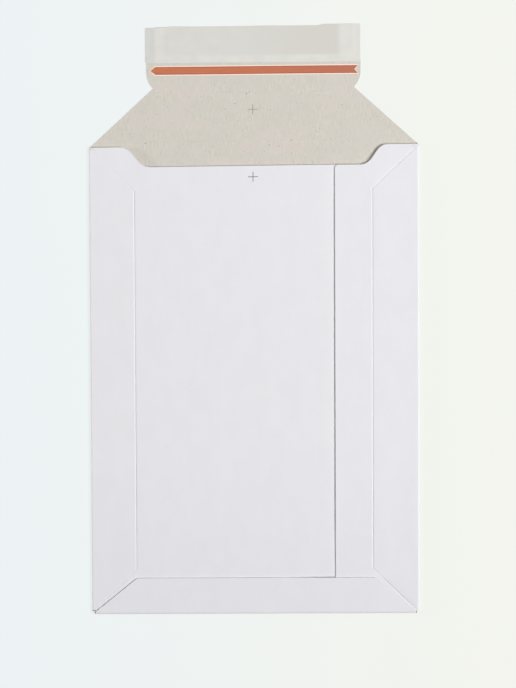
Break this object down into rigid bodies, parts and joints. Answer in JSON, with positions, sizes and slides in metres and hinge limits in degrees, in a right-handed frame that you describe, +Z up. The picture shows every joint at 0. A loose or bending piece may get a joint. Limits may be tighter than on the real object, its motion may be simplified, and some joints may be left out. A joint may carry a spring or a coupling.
{
  "type": "cardboard envelope",
  "caption": "Flat card mailer: a glued board pocket lying on its back, with an open closing flap, tear tape and a covered adhesive strip.",
  "frame": {"origin": "middle of the back panel's underside, on the surface that the mailer lies on", "axes": "+X across the pocket to its right as the mouth is seen from the foot, +Y from the foot to the closing flap, +Z up out of the front"},
  "size_m": [0.175, 0.3136, 0.0034],
  "materials": {
    "white_board": "matte",
    "grey_board": "matte",
    "tear_tape": "satin",
    "adhesive": "satin",
    "liner_paper": "satin"
  },
  "bodies": {
    "pack": {"envelope_body": "white_board"},
    "flap": {"closure_flap": "grey_board", "tear_tape": "tear_tape", "adhesive_strip": "adhesive", "release_liner": "liner_paper"}
  },
  "joints": [
    {"name": "flap_fold", "type": "hinge", "parent": "pack", "child": "flap", "pos_m": [0, 0.1268, 0.002], "axis": [1, 0, 0], "range_deg": [0, 179]}
  ]
}
